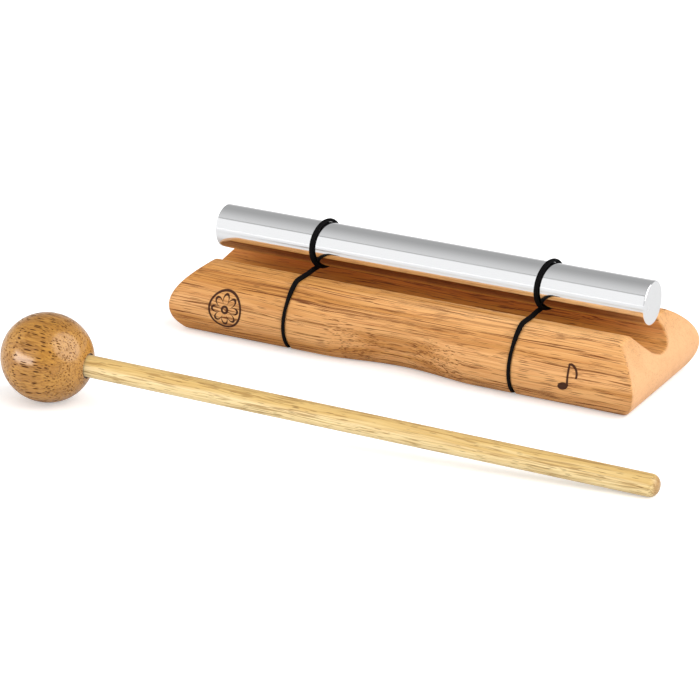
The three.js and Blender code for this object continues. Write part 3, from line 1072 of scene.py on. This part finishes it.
@dataclass(frozen=True)
class Braid:
    """Braided jacket over a core, grown along centrelines by a tree of geometry nodes."""

    yarns: int = 16
    pitch: float = 6.4
    yarn_half_width: float = 0.27
    yarn_half_depth: float = 0.15
    lift: float = 0.07
    core_share: float = 0.86
    core_sides: int = 16
    yarn_sides: int = 6

    def tree(self) -> bpy.types.NodeTree:
        """Makes the tree.

        Returns:
            A tree whose inputs are the centrelines, the braid's sizes in metres and the finish.
        """
        bench = Bench(bpy.data.node_groups.new("braided cord", "GeometryNodeTree"))
        bench.socket("Geometry", "Geometry")
        bench.socket("Yarns", "Int")
        for name in ("Pitch", "Yarn Half Width", "Yarn Half Depth", "Lift", "Core Share"):
            bench.socket(name, "Float")
        bench.socket("Finish", "Material")
        bench.socket("Geometry", "Geometry", out=True)
        given = bench.add("NodeGroupInput").outputs

        def read(name: str, kind: str = "FLOAT_VECTOR") -> Socket:
            """Returns a stored attribute."""
            node = bench.add("GeometryNodeInputNamedAttribute", data_type=kind)
            return bench.feed(node, Name=name).outputs[0]

        def position() -> Socket:
            """Returns each point's position."""
            return bench.add("GeometryNodeInputPosition").outputs[0]

        def store(geometry: Feed, name: str, value: Feed) -> Socket:
            """Stores a vector on each point."""
            node = bench.add("GeometryNodeStoreNamedAttribute", data_type="FLOAT_VECTOR", domain="POINT")
            return bench.feed(node, Geometry=geometry, Name=name, Value=value).outputs["Geometry"]

        def shift(geometry: Feed, place: Feed) -> Socket:
            """Moves each point to a place."""
            node = bench.add("GeometryNodeSetPosition")
            return bench.feed(node, Geometry=geometry, Position=place).outputs[0]

        def both(first: Feed, a: Feed, second: Feed, b: Feed) -> Socket:
            """Returns the sum of a share of each of two directions."""
            return bench.vector("ADD", bench.scale(first, a), bench.scale(second, b))

        def section(sides: int) -> Socket:
            """Returns a round section that stores its own unit places."""
            node = bench.add("GeometryNodeCurvePrimitiveCircle", mode="RADIUS")
            bench.feed(node, Resolution=sides, Radius=MM)
            return store(node.outputs["Curve"], "unit", bench.scale(position(), 1.0 / MM))

        def tube(curve: Feed, sides: int) -> Socket:
            """Sweeps a round section along a curve."""
            node = bench.add("GeometryNodeCurveToMesh")
            bench.feed(node, Curve=curve, Profile_Curve=section(sides), Fill_Caps=True)
            return node.outputs["Mesh"]

        curve = bench.feed(bench.add("GeometryNodeMeshToCurve"), Mesh=given["Geometry"]).outputs["Curve"]
        tangent = bench.add("GeometryNodeInputTangent").outputs["Tangent"]
        lead = read("across")
        along = bench.scale(tangent, bench.vector("DOT_PRODUCT", lead, tangent))
        across = bench.vector("NORMALIZE", bench.vector("SUBTRACT", lead, along))
        curve = store(curve, "centre", position())
        curve = store(curve, "out", bench.vector("CROSS_PRODUCT", tangent, across))
        curve = store(curve, "across", across)
        centre, out, lead = read("centre"), read("out"), read("across")
        half_width, half_depth = read("half_width", "FLOAT"), read("half_depth", "FLOAT")
        unit_x, unit_y, _ = bench.parts(read("unit"))

        core_width = bench.product(half_width, given["Core Share"], unit_x)
        core_depth = bench.product(half_depth, given["Core Share"], unit_y)
        core_place = bench.vector("ADD", centre, both(lead, core_width, out, core_depth))
        core = shift(tube(curve, self.core_sides), core_place)

        copies = bench.add("GeometryNodeDuplicateElements", domain="SPLINE")
        bench.feed(copies, Geometry=curve, Amount=given["Yarns"])
        number = copies.outputs["Duplicate Index"]
        hand = bench.rest(bench.product(bench.math("MODULO", number, 2.0), 2.0))
        place = bench.math("FLOOR", bench.math("DIVIDE", number, 2.0))
        turn = bench.product(bench.math("DIVIDE", read("arc", "FLOAT"), given["Pitch"]), 2.0 * math.pi)
        share = bench.math("DIVIDE", 4.0 * math.pi, given["Yarns"])
        angle = bench.math("ADD", bench.product(place, share), bench.product(turn, hand))
        quarter = bench.math("DIVIDE", given["Yarns"], 4.0)
        weave = bench.math("SUBTRACT", bench.product(turn, quarter), math.pi / 4.0)
        lift = bench.product(bench.math("COSINE", weave), hand, given["Lift"])
        seat = bench.math("SUBTRACT", lift, bench.math("ADD", given["Yarn Half Depth"], given["Lift"]))
        cosine, sine = bench.math("COSINE", angle), bench.math("SINE", angle)
        reach_across = bench.product(bench.math("ADD", half_width, seat), cosine)
        reach_out = bench.product(bench.math("ADD", half_depth, seat), sine)
        yarn_place = bench.vector("ADD", centre, both(lead, reach_across, out, reach_out))
        yarn = shift(copies.outputs["Geometry"], yarn_place)
        spoke = both(lead, bench.product(cosine, half_depth), out, bench.product(sine, half_width))
        yarn = store(yarn, "spoke", bench.vector("NORMALIZE", spoke))
        yarn = store(yarn, "centre", position())
        spoke = read("spoke")
        beside = bench.vector("CROSS_PRODUCT", tangent, spoke)
        yarn = store(yarn, "beside", bench.vector("NORMALIZE", beside))
        depth = bench.product(given["Yarn Half Depth"], unit_x)
        width = bench.product(given["Yarn Half Width"], unit_y)
        skin_place = bench.vector("ADD", centre, both(spoke, depth, read("beside"), width))
        yarn = shift(tube(yarn, self.yarn_sides), skin_place)

        whole = bench.add("GeometryNodeJoinGeometry")
        for part in (core, yarn):
            bench.tree.links.new(part, whole.inputs[0])
        real = bench.feed(bench.add("GeometryNodeRealizeInstances"), Geometry=whole.outputs[0])
        done = bench.add("GeometryNodeSetMaterial")
        bench.feed(done, Geometry=real.outputs[0], Material=given["Finish"])
        bench.feed(bench.add("NodeGroupOutput"), Geometry=done.outputs[0])
        return bench.tree

    def carrier(self, name: str, lines: Sequence[Line]) -> bpy.types.Object:
        """Makes the bare centrelines.

        Args:
            name: Name of the piece.
            lines: Centrelines in millimetres.

        Returns:
            An object of edges, whose points hold what the tree reads.
        """
        mesh = bpy.data.meshes.new(f"{name} line")
        points = np.vstack([line.path for line in lines])
        starts = np.cumsum([0, *(len(line.path) for line in lines)])
        edges = [(k, k + 1) for a, b in zip(starts, starts[1:]) for k in range(a, b - 1)]
        mesh.from_pydata((points * MM).tolist(), edges, [])
        across = np.vstack([line.across for line in lines]).astype(np.float32)
        mesh.attributes.new("across", "FLOAT_VECTOR", "POINT").data.foreach_set("vector", across.ravel())
        for key, parts in (
            ("half_width", [line.half_width for line in lines]),
            ("half_depth", [line.half_depth for line in lines]),
            ("arc", [arc_length(line.path) for line in lines]),
        ):
            values = (np.concatenate(parts) * MM).astype(np.float32)
            mesh.attributes.new(key, "FLOAT", "POINT").data.foreach_set("value", values)
        return show(bpy.data.objects.new(f"{name} carrier", mesh))

    def weave(
        self, name: str, lines: Sequence[Line], tree: bpy.types.NodeTree, material: bpy.types.Material
    ) -> bpy.types.Object:
        """Grows the braid along centrelines.

        Args:
            name: Name of the piece.
            lines: Centrelines in millimetres.
            tree: Tree made by this braid.
            material: Finish of the cord.

        Returns:
            A plain mesh object.
        """
        carrier = self.carrier(name, lines)
        modifier = carrier.modifiers.new("braid", "NODES")
        modifier.node_group = tree
        values = {
            "Yarns": self.yarns,
            "Pitch": self.pitch * MM,
            "Yarn Half Width": self.yarn_half_width * MM,
            "Yarn Half Depth": self.yarn_half_depth * MM,
            "Lift": self.lift * MM,
            "Core Share": self.core_share,
            "Finish": material,
        }
        for item in tree.interface.items_tree:
            if item.in_out == "INPUT" and item.name in values:
                modifier[item.identifier] = values[item.name]
        graph = bpy.context.evaluated_depsgraph_get()
        grown = bpy.data.meshes.new_from_object(carrier.evaluated_get(graph), depsgraph=graph)
        bpy.data.objects.remove(carrier)
        for key in ("across", "out", "centre", "unit", "spoke", "beside", "half_width", "half_depth", "arc"):
            if key in grown.attributes:
                grown.attributes.remove(grown.attributes[key])
        shell = bmesh.new()
        shell.from_mesh(grown)
        bmesh.ops.recalc_face_normals(shell, faces=shell.faces)
        shell.to_mesh(grown)
        shell.free()
        grown.shade_smooth()
        grown.name = name
        return show(bpy.data.objects.new(name, grown))


@dataclass(frozen=True)
class Knot:
    """Barrel knot under the block: a coil about the straight cord, along Y."""

    height: float = 3.0
    reach: float = 3.9
    turns: float = 3.2
    coil_radius: float = 1.55
    taper: float = 0.75
    taper_share: float = 0.1
    coil_half_length: float = 2.6
    coil_half: float = 0.78
    cord_half: float = 0.8
    samples: int = 40

    def lines(self, station: float, step: float) -> list[Line]:
        """Returns the knot's centrelines.

        Args:
            station: X of the knot.
            step: Distance between points.

        Returns:
            The coil and the straight cord.
        """
        share = np.linspace(0.0, 1.0, self.samples)
        angle = 2.0 * math.pi * self.turns * share
        ends = smoothstep(share, self.taper_share, 0.0) + smoothstep(share, 1.0 - self.taper_share, 1.0)
        radius = self.coil_radius - self.taper * ends
        x, z = station + radius * np.cos(angle), self.height + radius * np.sin(angle)
        coil = np.stack([x, self.coil_half_length * (2.0 * share - 1.0), z], axis=1)
        straight = np.array([[station, y, self.height] for y in (-self.reach, 0.0, self.reach)])
        return [
            Line.even(spline(coil, step), (0.0, 1.0, 0.0), self.coil_half),
            Line.even(spline(straight, step), (1.0, 0.0, 0.0), self.cord_half),
        ]


@dataclass
class Sling:
    """One elastic cord: up the front of the block, once round the bar and down the back, knotted below."""

    side: Side
    station: float
    block: Block
    bar: Bar
    knot: Knot = Knot()
    half_width: float = 0.95
    turn_half_depth: float = 0.66
    turn_half_width: float = 0.92
    turn_gap: float = 0.04
    turn_start: float = -0.5
    turn_pitch: float = 2.1
    turn_bow: float = 0.95
    turn_lean: float = 1.5
    turn_step: float = 15.0
    flat_range: Span = (1.0, 7.0)
    step: float = 0.22
    channel_step: float = 1.2
    under_height: float = 1.0
    seat: float = 0.6
    sink: float = 0.3
    thin: float = 0.63
    thin_range: Span = (17.0, 23.8)
    side_points: int = 10
    lip_margin: float = 1.0
    lip_reach: float = 11.0
    cut_reach: float = 6.0
    front_drift: float = -0.55
    back_drift: float = 1.7

    def strand_half(self, z: np.ndarray) -> np.ndarray:
        """Returns half of a strand's thickness, which is stretched thinner lower on the block."""
        return self.thin + (self.half_width - self.thin) * smoothstep(z, *self.thin_range)

    def side_point(self, face: Face, z: float) -> Spot:
        """Returns the cord's centre where it lies on a long face at a height."""
        heights = np.array([z - SLOPE_REACH, z, min(z + SLOPE_REACH, self.block.height)])
        below, width, above = self.block.half_size(heights, self.block.width)
        slope = (above - below) / (2.0 * SLOPE_REACH)
        size = math.hypot(1.0, slope)
        seat = self.seat - self.half_width + float(self.strand_half(np.array(z)))
        out = seat - (seat + self.sink) * max(1.0 - z / self.block.waist_height, 0.0) ** 2
        return self.station, face.value * (width + out / size), z - out * slope / size

    def strand(self, face: Face) -> np.ndarray:
        """Returns the points of a strand, listed one by one, from the knot to the free span."""
        station, low, tied = self.station, self.under_height, self.knot.height
        drifted = station + (self.front_drift if face is Face.FRONT else self.back_drift)
        top = self.block.height + self.seat
        under = [(self.knot.reach, tied), (5.9, tied), (11.0, low), (21.7, low)]
        points = [(station, face.value * y, z) for y, z in under]
        for k in range(self.side_points):
            share = math.sin(math.pi / 2.0 * (k + 0.2) / (self.side_points - 0.4))
            points.append(self.side_point(face, low + (self.block.height - low) * share))
        points += [(station, face.value * y, top) for y in (14.9, self.lip_reach)]
        free = [(self.cut_reach, top - 0.13), (3.0, top - 0.22)]
        points += [(drifted, face.value * y, z) for y, z in free]
        return np.array(points)

    def turn(self) -> np.ndarray:
        """Returns the points of the turn about the bar, from the bottom up the back and down the front."""
        radius = self.bar.radius + self.turn_gap + self.turn_half_depth
        angle = np.radians(np.arange(0.0, 361.0, self.turn_step))
        x = self.turn_start + self.turn_pitch * (angle / (2.0 * math.pi))
        x = x + self.turn_bow * (1.0 - np.cos(angle)) / 2.0 + self.turn_lean * np.sin(angle)
        height = self.bar.height - radius * np.cos(angle)
        return np.stack([self.station + x, radius * np.sin(angle), height], axis=1)

    def line(self) -> tuple[Line, int, int]:
        """Returns the whole centreline, with the places where it is cut between the block and the bar."""
        front, back = self.strand(Face.FRONT), self.strand(Face.BACK)
        path = spline(np.vstack([front, self.turn(), back[::-1]]), self.step)
        height, out = path[:, 2], np.abs(path[:, 1])
        free = np.flatnonzero((height > self.block.height - self.lip_margin) & (out < self.cut_reach))
        first, last = int(free[0]), int(free[-1])
        arc = arc_length(path)
        flat = smoothstep(arc - arc[first], *self.flat_range)
        flat *= smoothstep(arc[last] - arc, *self.flat_range)
        outside = out > self.lip_reach + self.lip_margin
        round_half = np.where(outside, self.strand_half(height), self.half_width)
        width = round_half + (self.turn_half_width - round_half) * flat
        depth = round_half + (self.turn_half_depth - round_half) * flat
        across = np.tile([1.0, 0.0, 0.0], (len(path), 1))
        return Line(path, across, width, depth), first, last

    def channel(self, face: Face) -> np.ndarray:
        """Returns a coarse path along which the block is hollowed for a strand."""
        return spline(self.strand(face)[1:-2], self.channel_step)

    def dress(self, braid: Braid, tree: bpy.types.NodeTree, material: bpy.types.Material) -> None:
        """Makes the strands, the turn and the knot.

        Args:
            braid: Braid that is grown along the centrelines.
            tree: The braid's tree.
            material: Finish of the cord.
        """
        line, first, last = self.line()
        LOG.info("%s cord: %.0f mm between its knots", self.side.value, arc_length(line.path)[-1])
        name = self.side.value
        strands = {Face.FRONT: line.cut(0, first + 1), Face.BACK: line.cut(last, len(line.path))}
        for face, part in strands.items():
            word = face.name.lower()
            piece = braid.weave(f"{name}_{word}_strand", [part], tree, material)
            settle_in(piece, [f"{name}_{word}_cord"])
            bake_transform(piece)
        piece = braid.weave(f"{name}_turn", [line.cut(first, last + 1)], tree, material)
        settle_in(piece, [f"{name}_rod_turn"])
        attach(piece, Body.SLINGS.value)
        piece = braid.weave(f"{name}_knot", self.knot.lines(self.station, self.step), tree, material)
        settle_in(piece, [f"{name}_cord_knot"])
        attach(piece, Body.BASE.value)


@dataclass
class Mallet:
    """Turned wooden ball on a dowel, lying on the table in front of the block."""

    place: Place
    ball_radius: float = 15.7
    ball_half_length: float = 16.5
    dowel_radius: float = 3.9
    reach: float = 221.2
    insert: float = 14.0
    end_radius: float = 3.3
    fit: float = 0.2
    mouth_edge: float = 0.5
    break_edge: float = 0.3
    ball_sides: int = 160
    ball_steps: int = 72
    dowel_sides: int = 72
    dowel_steps: int = 24
    end_turn: int = 9

    @classmethod
    def at_rest(cls, x: float, y: float, yaw: float) -> "Mallet":
        """Lays a mallet on the table.

        Args:
            x: X of the ball's centre.
            y: Y of the ball's centre.
            yaw: Turn of the handle about the vertical.

        Returns:
            A mallet whose ball and handle end both touch the table.
        """
        dip = math.asin((cls.ball_radius - cls.dowel_radius) / (cls.reach - cls.end_radius))
        return cls(Place((x, y, cls.ball_radius), yaw, dip))

    def ball_profile(self) -> list[Span]:
        """Returns the ball's turned profile, which ends in the bottom of its bore."""
        bore, soft = self.dowel_radius + self.fit, self.break_edge
        mouth = math.acos((bore + self.mouth_edge) / self.ball_radius)
        angles = np.linspace(-math.pi / 2.0, mouth, self.ball_steps)
        outer = [(self.ball_half_length * math.sin(a), self.ball_radius * math.cos(a)) for a in angles]
        outer[0] = (-self.ball_half_length, 0.0)
        lip = outer[-1][0]
        floor = lip - self.insert
        edge = [(lip + 0.02, bore + soft), (lip - 0.08, bore + 0.1), (lip - soft, bore)]
        return [*outer, *edge, (floor + soft, bore), (floor, bore - soft), (floor, 0.0)]

    def dowel_profile(self) -> list[Span]:
        """Returns the dowel's turned profile, from its end in the ball to its rounded free end."""
        start = self.ball_profile()[-1][0] + self.break_edge
        r, e = self.dowel_radius, self.end_radius
        low = [(start, 0.0), (start, r - 0.5), (start + 0.15, r - 0.15), (start + 0.5, r)]
        side = [(x, r) for x in np.linspace(start + 4.0, self.reach - e - 0.5, self.dowel_steps)]
        turn = [math.radians(a) for a in range(0, 91, self.end_turn)]
        edge = [(self.reach - e + e * math.sin(a), r - e + e * math.cos(a)) for a in turn]
        return [*low, *side, *edge, (self.reach, (r - e) / 2.0), (self.reach, 0.0)]

    def dress(self, ball: bpy.types.Material, dowel: bpy.types.Material) -> None:
        """Makes the ball and the handle, on the body that is lifted.

        Args:
            ball: Finish of the ball.
            dowel: Finish of the handle.
        """
        for name, profile, sides, finish, slot, node in (
            ("ball", self.ball_profile(), self.ball_sides, ball, Slot.BALL, "mallet_head"),
            ("handle", self.dowel_profile(), self.dowel_sides, dowel, Slot.DOWEL, "mallet_handle"),
        ):
            points, faces = lathe(profile, sides)
            piece = make_piece(name, self.place.apply(points), faces, finish)
            piece.visible_glossy = False
            settle_in(piece, [node])
            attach(piece, Body.MALLET.value)


@dataclass(frozen=True)
class Lamp:
    """Soft lamp that shines on the object from a direction, except on pieces that it spares."""

    name: str
    direction: Spot
    spared: tuple[str, ...] = field(default=(), kw_only=True)

    def light(self) -> bpy.types.Light:
        """Makes the light itself."""
        raise NotImplementedError

    def hang(self, target: Vector, distance: float) -> None:
        """Hangs the lamp round a target point."""
        lamp = show(bpy.data.objects.new(self.name, self.light()))
        back = Vector(self.direction).normalized()
        lamp.location = target + back * distance
        lamp.rotation_euler = back.to_track_quat("Z", "Y").to_euler()
        if self.spared:
            dark = bpy.data.collections.new(f"{self.name} spared")
            for name in self.spared:
                dark.objects.link(bpy.data.objects[name])
            for item in dark.collection_objects:
                item.light_linking.link_state = "EXCLUDE"
            lamp.light_linking.receiver_collection = dark
        LOG.info("%s lamp", self.name)


@dataclass(frozen=True)
class PanelLamp(Lamp):
    """Rectangular soft box."""

    size: Span
    radiance: float

    def light(self) -> bpy.types.Light:
        """Makes a rectangular area light."""
        light = bpy.data.lights.new(self.name, "AREA")
        light.shape = "RECTANGLE"
        light.size, light.size_y = self.size
        light.energy = self.radiance * math.pi * self.size[0] * self.size[1]
        return light


@dataclass(frozen=True)
class FarLamp(Lamp):
    """Wide soft light that is as strong everywhere on the floor."""

    spread: float
    strength: float

    def light(self) -> bpy.types.Light:
        """Makes a distant light with a wide disc."""
        light = bpy.data.lights.new(self.name, "SUN")
        light.angle = math.radians(self.spread)
        light.energy = self.strength
        return light


@dataclass(frozen=True)
class Sky:
    """Room round the object: white to the camera, and a white front wall under a grey ceiling to the rest.

    Ranges are of the X, Y and Z of a direction, and levels are brightness. Mirrors see the ceiling and the
    back of the room darker than they light the object, and a dark line where wall and ceiling meet in front.
    """

    ceiling_range: Span = (-0.75, 0.6)
    ceiling_levels: Span = (0.74, 0.40)
    ceiling_light: float = 0.25
    front_y_range: Span = (-0.3, 0.3)
    front_x_range: Span = (-0.15, 0.25)
    front_level: float = 0.99
    back_level: float = 0.62
    dim_range: Span = (0.2, 0.3)
    dim_level: float = 0.21
    seam_range: Span = (0.690, 0.700)
    line_range: Span = (0.720, 0.750)
    line_y_range: Span = (-0.2, 0.1)
    line_share: float = 0.42

    def build(self) -> None:
        """Makes the world."""
        world = bpy.data.worlds.new("studio")
        bpy.context.scene.world = world
        world.use_nodes = True
        bench = Bench(world.node_tree)
        x, y, z = bench.parts(bench.add("ShaderNodeTexCoord").outputs["Generated"])
        path = bench.add("ShaderNodeLightPath").outputs
        mirror = path["Is Glossy Ray"]
        ceiling = bench.rise(y, *self.ceiling_range, *self.ceiling_levels)
        ceiling = bench.math("ADD", ceiling, bench.rise(mirror, 0.0, 1.0, self.ceiling_light, 0.0))
        front = bench.product(bench.fall(y, *self.front_y_range), bench.fall(x, *self.front_x_range))
        dim = bench.product(mirror, bench.rise(z, *self.dim_range, 0.0, self.dim_level))
        back = bench.math("SUBTRACT", self.back_level, dim)
        wall = bench.rise(front, 0.0, 1.0, back, self.front_level)
        seam = bench.rise(z, *self.seam_range)
        level = bench.math("ADD", bench.product(wall, bench.rest(seam)), bench.product(ceiling, seam))
        line = bench.product(seam, bench.fall(z, *self.line_range), bench.fall(y, *self.line_y_range))
        level = bench.product(level, bench.rest(bench.product(line, self.line_share)))
        level = bench.largest(level, path["Is Camera Ray"])
        shader = world.node_tree.nodes["Background"]
        bench.feed(shader, Color=bench.join(level, level, level), Strength=1.0)


@dataclass(frozen=True)
class Studio:
    """White floor, soft light and the camera at the photograph's angle."""

    azimuth: float = 28.38
    elevation: float = 21.70
    lens: float = 161.36
    sensor: float = 36.0
    clip: Span = (0.01, 100.0)
    target: Spot = (-0.02534, -0.01398, -0.00064)
    distance: float = 1.1364
    floor_half: float = 6000.0
    floor_drop: float = 0.1
    floor_tint: Colour = (0.93, 0.93, 0.93, 1.0)
    floor_mirror_tint: Colour = (0.72, 0.72, 0.72, 1.0)
    floor_glow: float = 0.3
    lamp_target: Spot = (-0.05, -0.06, 0.02)
    lamp_distance: float = 1.3
    lamps: tuple[Lamp, ...] = (
        PanelLamp("front left", (-0.50, -0.84, 0.12), (1.2, 0.4), 6.0, spared=("bar",)),
        FarLamp("right", (0.79, 0.06, 0.61), 70.0, 2.4),
    )

    def camera(self) -> None:
        """Sets the camera."""
        a, e = math.radians(self.azimuth), math.radians(self.elevation)
        back = Vector((math.sin(a) * math.cos(e), -math.cos(a) * math.cos(e), math.sin(e)))
        right = Vector((math.cos(a), math.sin(a), 0.0))
        up = back.cross(right)
        data = bpy.data.cameras.new("camera")
        data.lens, data.sensor_width = self.lens, self.sensor
        data.clip_start, data.clip_end = self.clip
        eye = show(bpy.data.objects.new("camera", data))
        turn = Matrix((right, up, back)).transposed().to_4x4()
        eye.matrix_world = Matrix.Translation(Vector(self.target) + back * self.distance) @ turn
        bpy.context.scene.camera = eye

    def floor(self) -> None:
        """Lays a pale floor that looks white to the camera and a little darker in reflections."""
        material, bench, shader = new_finish("floor")
        seen = bench.add("ShaderNodeLightPath").outputs["Is Camera Ray"]
        tint = bench.mix(seen, self.floor_mirror_tint, self.floor_tint)
        bench.feed(shader, Base_Color=tint, Roughness=1.0, Specular_IOR_Level=0.0)
        glow = bench.product(seen, self.floor_glow)
        bench.feed(shader, Emission_Color=(1.0, 1.0, 1.0, 1.0), Emission_Strength=glow)
        square = np.array([(-1.0, -1.0, 0.0), (1.0, -1.0, 0.0), (1.0, 1.0, 0.0), (-1.0, 1.0, 0.0)])
        corners = square * self.floor_half - [0.0, 0.0, self.floor_drop]
        make_piece("floor", corners, [(0, 1, 2, 3)], material)

    def dress(self) -> None:
        """Sets up the floor, the light and the camera."""
        bpy.context.scene.view_settings.view_transform = "Standard"
        self.floor()
        Sky().build()
        for lamp in self.lamps:
            lamp.hang(Vector(self.lamp_target), self.lamp_distance)
        self.camera()


@dataclass
class Chime:
    """The whole object, with the mallet's place on the table."""

    block: Block
    bar: Bar
    slings: list[Sling]
    mallet_x: float = -94.7
    mallet_y: float = -105.8
    mallet_yaw: float = 6.33

    @classmethod
    def from_frame(cls) -> "Chime":
        """Takes the sizes and places of the pieces from the frame."""
        block, bar = Block.from_frame(), Bar.from_frame()
        slings = []
        for side in Side:
            low, high = frame_box(f"{side.value}_cord_knot")
            slings.append(Sling(side, float((low + high)[0] / 2.0), block, bar))
        block.stations = [sling.station for sling in slings]
        block.channels = [sling.channel(face) for sling in slings for face in Face]
        return cls(block, bar, slings)

    def dress(self) -> None:
        """Makes every piece with its finish."""
        mallet = Mallet.at_rest(self.mallet_x, self.mallet_y, math.radians(self.mallet_yaw))
        grain = Grain().group()
        block_wood = WoodFinish(
            name="oiled hardwood",
            pale=(0.76, 0.41, 0.155, 1.0),
            warm=(0.56, 0.256, 0.064, 1.0),
            dark=(0.16, 0.046, 0.009, 1.0),
            lines=(130.0, 1.15, 0.034, 1.0),
            pores=(9.0, 0.34, 0.34, 0.8),
            band_width=5.5,
            roughness=0.5,
            gloss=0.25,
            coat=0.0,
            coat_roughness=0.3,
            coat_ior=1.5,
            relief=0.12,
            end_tone=(0.80, 0.45, 0.225, 1.0),
            end_strength=0.2,
            # Painted light: the wood grows paler towards the right end, as if lit from the right.
            lean=(-0.0012, 0.0, 0.0),
        )
        ball_wood = WoodFinish(
            name="lacquered ball wood",
            pale=(0.53, 0.255, 0.030, 1.0),
            warm=(0.41, 0.18, 0.015, 1.0),
            dark=(0.11, 0.034, 0.004, 1.0),
            lines=(20.0, 1.6, 0.04, 0.55),
            pores=(4.4, 0.6, 0.5, 1.0),
            band_width=4.0,
            roughness=0.5,
            gloss=0.1,
            coat=1.0,
            coat_roughness=0.22,
            coat_ior=1.62,
            relief=0.12,
            end_tone=(0.50, 0.24, 0.045, 1.0),
            end_strength=0.8,
            place=mallet.place,
            seam=4.35,
        )
        dowel_wood = WoodFinish(
            name="lacquered dowel wood",
            pale=(0.82, 0.65, 0.34, 1.0),
            warm=(0.66, 0.455, 0.17, 1.0),
            dark=(0.30, 0.165, 0.045, 1.0),
            lines=(40.0, 1.1, 0.045, 0.7),
            pores=(6.0, 0.5, 0.3, 0.75),
            band_width=2.2,
            roughness=0.36,
            gloss=0.3,
            coat=0.3,
            coat_roughness=0.25,
            coat_ior=1.5,
            relief=0.06,
            end_tone=(0.40, 0.21, 0.07, 1.0),
            end_strength=0.9,
            # Painted light: paler below and in front, darker on top, as if lit from the front and below.
            lean=(0.0, 0.042, 0.082),
            place=mallet.place,
        )
        tints = BlockTints(self.block.height + self.block.groove_rise, self.block.groove_radius)
        self.block.dress(block_wood.material(grain, tints))
        self.bar.dress(MetalFinish().material(self.bar.place()))
        braid, cord = Braid(), CordFinish().material()
        tree = braid.tree()
        for sling in self.slings:
            sling.dress(braid, tree, cord)
        mallet.dress(ball_wood.material(grain), dowel_wood.material(grain))


def main() -> None:
    """Dresses the chime in its studio."""
    logging.basicConfig(level=logging.INFO, format="%(name)s: %(message)s")
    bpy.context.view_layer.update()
    Chime.from_frame().dress()
    Studio().dress()


if __name__ == "__main__":
    main()
